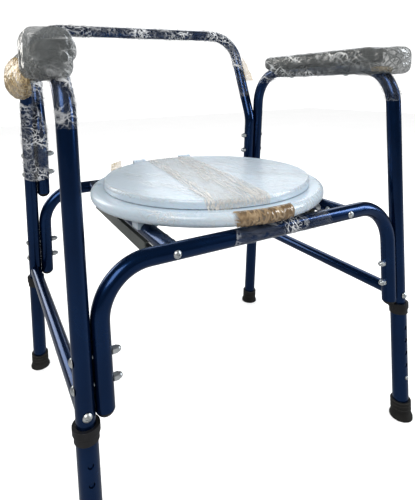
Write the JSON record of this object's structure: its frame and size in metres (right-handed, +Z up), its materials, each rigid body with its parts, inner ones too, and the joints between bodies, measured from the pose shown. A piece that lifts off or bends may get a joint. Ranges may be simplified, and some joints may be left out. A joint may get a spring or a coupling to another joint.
{
  "type": "commode chair",
  "caption": "Knock-down tubular commode chair with padded arms, a leaning back bar, a round lidded seat that lifts off, slides for a pail and height-adjustable legs.",
  "frame": {"origin": "on the floor, half-way between the front of the front feet and the back of the top bar, and half-way between the left and right sides", "axes": "+Z up, the front of the chair faces -Y, and +X is to the right for someone who looks at the front"},
  "size_m": [0.634, 0.5622, 0.7771],
  "materials": {
    "navy_powder_coat": "glossy navy powder coat",
    "grey_slide": "satin olive-grey",
    "black_pad": "fine leather grain, satin",
    "zinc_plate": "bright zinc plate",
    "spring_steel": "bare spring steel",
    "black_plastic": "moulded, satin",
    "black_rubber": "moulded rubber, dull",
    "pale_plastic": "pale blue-white moulded plastic, glossy"
  },
  "bodies": {
    "frame": {"arm_frame_left": "navy_powder_coat", "arm_frame_right": "navy_powder_coat", "front_cross_tube": "navy_powder_coat", "rear_cross_tube": "navy_powder_coat", "backrest_tube": "navy_powder_coat", "side_bar_left": "navy_powder_coat", "side_bar_right": "navy_powder_coat", "seat_rail_left": "navy_powder_coat", "seat_rail_right": "navy_powder_coat", "pail_slide_left": "grey_slide", "pail_slide_right": "grey_slide", "armrest_left": "black_pad", "armrest_right": "black_pad", "cross_bolts": "zinc_plate", "cross_nuts": "zinc_plate", "back_bolts": "zinc_plate", "back_nuts": "zinc_plate", "side_bar_screws": "zinc_plate", "rail_screws": "zinc_plate", "insert_screws": "zinc_plate", "armrest_screws": "zinc_plate", "pail_slide_screws": "zinc_plate", "tube_end_plugs": "black_plastic", "rail_inserts": "black_plastic", "side_bar_inserts": "black_plastic", "snap_springs": "spring_steel"},
    "leg_front_left": {"leg_sleeve_front_left": "navy_powder_coat", "leg_collar_front_left": "black_plastic", "rubber_foot_front_left": "black_rubber"},
    "button_front_left": {"snap_button_front_left": "zinc_plate"},
    "leg_front_right": {"leg_sleeve_front_right": "navy_powder_coat", "leg_collar_front_right": "black_plastic", "rubber_foot_front_right": "black_rubber"},
    "button_front_right": {"snap_button_front_right": "zinc_plate"},
    "leg_rear_left": {"leg_sleeve_rear_left": "navy_powder_coat", "leg_collar_rear_left": "black_plastic", "rubber_foot_rear_left": "black_rubber"},
    "button_rear_left": {"snap_button_rear_left": "zinc_plate"},
    "leg_rear_right": {"leg_sleeve_rear_right": "navy_powder_coat", "leg_collar_rear_right": "black_plastic", "rubber_foot_rear_right": "black_rubber"},
    "button_rear_right": {"snap_button_rear_right": "zinc_plate"},
    "seat": {"seat_ring": "pale_plastic", "seat_saddles": "pale_plastic", "saddle_screws": "zinc_plate", "lid_pins": "zinc_plate"},
    "lid": {"lid": "pale_plastic", "lid_buffers": "black_rubber"}
  },
  "joints": [
    {"name": "leg_slide_front_left", "type": "slide", "parent": "frame", "child": "leg_front_left", "axis": [0, -0.0576, -0.9983], "range_m": [0, 0.096], "deforming": ["snap_button_front_left"]},
    {"name": "leg_slide_front_right", "type": "slide", "parent": "frame", "child": "leg_front_right", "axis": [0, -0.0576, -0.9983], "range_m": [0, 0.096], "deforming": ["snap_button_front_right"]},
    {"name": "leg_slide_rear_left", "type": "slide", "parent": "frame", "child": "leg_rear_left", "axis": [0, 0.0854, -0.9963], "range_m": [0, 0.096], "deforming": ["snap_button_rear_left"]},
    {"name": "leg_slide_rear_right", "type": "slide", "parent": "frame", "child": "leg_rear_right", "axis": [0, 0.0854, -0.9963], "range_m": [0, 0.096], "deforming": ["snap_button_rear_right"]},
    {"name": "button_press_front_left", "type": "slide", "parent": "frame", "child": "button_front_left", "axis": [0, 0.9983, -0.0576], "range_m": [0, 0.0054], "stiffness_N_per_m": 600, "springref_m": -0.002, "deforming": ["snap_springs"]},
    {"name": "button_press_front_right", "type": "slide", "parent": "frame", "child": "button_front_right", "axis": [0, 0.9983, -0.0576], "range_m": [0, 0.0054], "stiffness_N_per_m": 600, "springref_m": -0.002, "deforming": ["snap_springs"]},
    {"name": "button_press_rear_left", "type": "slide", "parent": "frame", "child": "button_rear_left", "axis": [0, -0.9963, -0.0854], "range_m": [0, 0.0054], "stiffness_N_per_m": 600, "springref_m": -0.002, "deforming": ["snap_springs"]},
    {"name": "button_press_rear_right", "type": "slide", "parent": "frame", "child": "button_rear_right", "axis": [0, -0.9963, -0.0854], "range_m": [0, 0.0054], "stiffness_N_per_m": 600, "springref_m": -0.002, "deforming": ["snap_springs"]},
    {"name": "seat_lift", "type": "slide", "parent": "frame", "child": "seat", "axis": [0, 0, 1], "range_m": [0, 0.1]},
    {"name": "lid_hinge", "type": "hinge", "parent": "seat", "child": "lid", "pos_m": [0, 0.1646, 0.458], "axis": [-1, 0, 0], "range_deg": [0, 100]}
  ]
}
